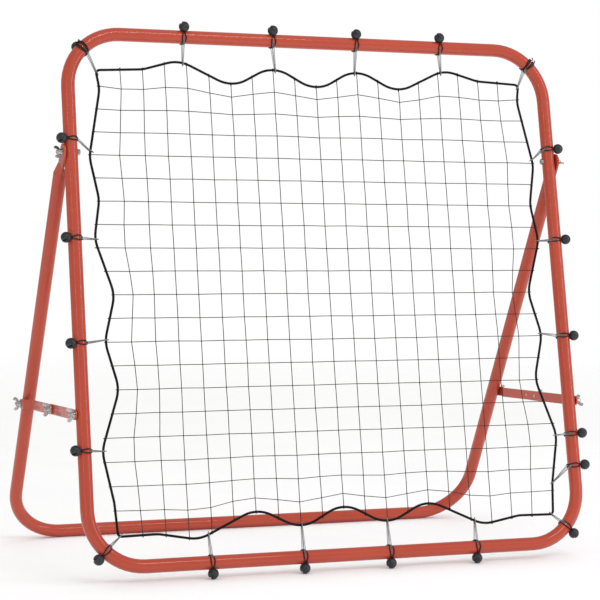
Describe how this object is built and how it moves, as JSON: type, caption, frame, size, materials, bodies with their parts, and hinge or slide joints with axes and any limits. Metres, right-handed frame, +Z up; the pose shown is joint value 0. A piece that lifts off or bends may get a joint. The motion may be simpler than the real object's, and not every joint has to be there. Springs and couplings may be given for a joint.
{
  "type": "pitch back rebounder",
  "caption": "Free-standing ball rebounder: square net sprung by ball bungees in a tilted red tube hoop, with a hinged U stand and folding side stays.",
  "frame": {"origin": "on the floor, at the middle of the object's width and depth", "axes": "+Z up, +Y to the back (away from the player), +X to the player's right; the net faces -Y"},
  "size_m": [1.0202, 0.5704, 0.9744],
  "materials": {
    "red_powder_coat": "glossy powder coat",
    "net_twine": "matt polyethylene twine",
    "border_rope": "matt braided rope",
    "bungee_elastic": "woven sleeve over rubber",
    "bungee_ball": "satin moulded plastic",
    "zinc_fastener": "bright zinc plate"
  },
  "bodies": {
    "hoop": {"front_frame": "red_powder_coat", "net": "net_twine", "net_border_rope": "border_rope", "bungee_cords_top": "bungee_elastic", "bungee_cords_left": "bungee_elastic", "bungee_cords_right": "bungee_elastic", "bungee_cords_bottom": "bungee_elastic", "bungee_cords_bottom_corner": "bungee_elastic", "bungee_cords_top_corner": "bungee_elastic", "bungee_ball_top_1": "bungee_ball", "bungee_ball_top_2": "bungee_ball", "bungee_ball_top_3": "bungee_ball", "bungee_ball_top_4": "bungee_ball", "bungee_ball_left_1": "bungee_ball", "bungee_ball_left_2": "bungee_ball", "bungee_ball_left_3": "bungee_ball", "bungee_ball_left_4": "bungee_ball", "bungee_ball_right_1": "bungee_ball", "bungee_ball_right_2": "bungee_ball", "bungee_ball_right_3": "bungee_ball", "bungee_ball_right_4": "bungee_ball", "bungee_ball_right_5": "bungee_ball", "bungee_ball_bottom_1": "bungee_ball", "bungee_ball_bottom_2": "bungee_ball", "bungee_ball_bottom_3": "bungee_ball", "bungee_ball_bottom_4": "bungee_ball", "bungee_ball_bottom_corner_1": "bungee_ball", "bungee_ball_bottom_corner_2": "bungee_ball", "bungee_ball_top_corner_1": "bungee_ball", "bungee_ball_top_corner_2": "bungee_ball", "frame_studs": "zinc_fastener", "frame_washers": "zinc_fastener", "pivot_bolt_left": "zinc_fastener", "pivot_bolt_right": "zinc_fastener", "pivot_washers": "zinc_fastener"},
    "stand": {"rear_frame": "red_powder_coat", "leg_studs": "zinc_fastener", "leg_washers": "zinc_fastener"},
    "front_stay_left": {"front_stay_bar_left": "red_powder_coat", "middle_stud_left": "zinc_fastener", "middle_washer_left": "zinc_fastener"},
    "rear_stay_left": {"rear_stay_bar_left": "red_powder_coat"},
    "pivot_nut_left": {"pivot_wing_nut_left": "zinc_fastener"},
    "frame_nut_left": {"frame_wing_nut_left": "zinc_fastener"},
    "middle_nut_left": {"middle_wing_nut_left": "zinc_fastener"},
    "leg_nut_left": {"leg_wing_nut_left": "zinc_fastener"},
    "front_stay_right": {"front_stay_bar_right": "red_powder_coat", "middle_stud_right": "zinc_fastener", "middle_washer_right": "zinc_fastener"},
    "rear_stay_right": {"rear_stay_bar_right": "red_powder_coat"},
    "pivot_nut_right": {"pivot_wing_nut_right": "zinc_fastener"},
    "frame_nut_right": {"frame_wing_nut_right": "zinc_fastener"},
    "middle_nut_right": {"middle_wing_nut_right": "zinc_fastener"},
    "leg_nut_right": {"leg_wing_nut_right": "zinc_fastener"}
  },
  "joints": [
    {"name": "stand_fold", "type": "hinge", "parent": "hoop", "child": "stand", "pos_m": [0, -0.13111, 0.73455], "axis": [-1, 0, 0], "range_deg": [0, 5.8]},
    {"name": "front_stay_left_swing", "type": "hinge", "parent": "hoop", "child": "front_stay_left", "pos_m": [-0.4813, -0.21765, 0.28429], "axis": [-1, 0, 0], "range_deg": [0, 31.91]},
    {"name": "rear_stay_left_swing", "type": "hinge", "parent": "stand", "child": "rear_stay_left", "pos_m": [-0.4951, 0.12576, 0.27554], "axis": [1, 0, 0], "range_deg": [0, 25.82]},
    {"name": "pivot_nut_left_spin", "type": "hinge", "parent": "hoop", "child": "pivot_nut_left", "pos_m": [-0.49, -0.13111, 0.73455], "axis": [-1, 0, 0], "range_deg": [0, 720]},
    {"name": "frame_nut_left_spin", "type": "hinge", "parent": "hoop", "child": "frame_nut_left", "pos_m": [-0.488, -0.21765, 0.28429], "axis": [-1, 0, 0], "range_deg": [0, 720]},
    {"name": "middle_nut_left_spin", "type": "hinge", "parent": "front_stay_left", "child": "middle_nut_left", "pos_m": [-0.491, -0.05771, 0.28022], "axis": [-1, 0, 0], "range_deg": [0, 720]},
    {"name": "leg_nut_left_spin", "type": "hinge", "parent": "stand", "child": "leg_nut_left", "pos_m": [-0.502, 0.12576, 0.27554], "axis": [-1, 0, 0], "range_deg": [0, 720]},
    {"name": "front_stay_right_swing", "type": "hinge", "parent": "hoop", "child": "front_stay_right", "pos_m": [0.4813, -0.21765, 0.28429], "axis": [-1, 0, 0], "range_deg": [0, 31.91]},
    {"name": "rear_stay_right_swing", "type": "hinge", "parent": "stand", "child": "rear_stay_right", "pos_m": [0.4951, 0.12576, 0.27554], "axis": [1, 0, 0], "range_deg": [0, 25.82]},
    {"name": "pivot_nut_right_spin", "type": "hinge", "parent": "hoop", "child": "pivot_nut_right", "pos_m": [0.49, -0.13111, 0.73455], "axis": [1, 0, 0], "range_deg": [0, 720]},
    {"name": "frame_nut_right_spin", "type": "hinge", "parent": "hoop", "child": "frame_nut_right", "pos_m": [0.488, -0.21765, 0.28429], "axis": [1, 0, 0], "range_deg": [0, 720]},
    {"name": "middle_nut_right_spin", "type": "hinge", "parent": "front_stay_right", "child": "middle_nut_right", "pos_m": [0.491, -0.05771, 0.28022], "axis": [1, 0, 0], "range_deg": [0, 720]},
    {"name": "leg_nut_right_spin", "type": "hinge", "parent": "stand", "child": "leg_nut_right", "pos_m": [0.502, 0.12576, 0.27554], "axis": [1, 0, 0], "range_deg": [0, 720]}
  ],
  "couplings": [
    {"joint": "front_stay_left_swing", "follows": "stand_fold", "ratio": 5.5},
    {"joint": "rear_stay_left_swing", "follows": "stand_fold", "ratio": 4.45},
    {"joint": "front_stay_right_swing", "follows": "stand_fold", "ratio": 5.5},
    {"joint": "rear_stay_right_swing", "follows": "stand_fold", "ratio": 4.45}
  ]
}
